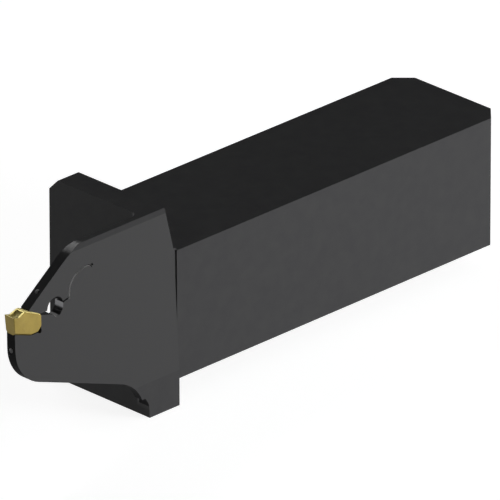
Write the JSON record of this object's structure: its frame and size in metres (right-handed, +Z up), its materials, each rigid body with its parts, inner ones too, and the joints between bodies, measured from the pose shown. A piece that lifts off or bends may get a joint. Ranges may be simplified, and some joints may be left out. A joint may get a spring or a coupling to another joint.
{
  "type": "face grooving tool holder",
  "caption": "Square-shank lathe tool holder with a curved face-grooving blade whose spring jaw grips a coated carbide cutting insert.",
  "frame": {"origin": "on the seat (underside of the shank), at the middle of the shank's rear end", "axes": "+X along the shank to the cutting edge, +Y to the side that carries the blade, +Z up, cutting edge upwards"},
  "size_m": [0.122, 0.0256, 0.0386],
  "materials": {
    "holder_steel": "fine-ground steel, blackened, satin gloss",
    "insert_coating": "gold-coloured hard coating on carbide, satin",
    "plug_steel": "black oxide"
  },
  "bodies": {
    "root": {"holder_body": "holder_steel", "cutting_insert": "insert_coating", "riser_plug": "plug_steel", "upper_way_plug": "plug_steel"}
  },
  "joints": []
}
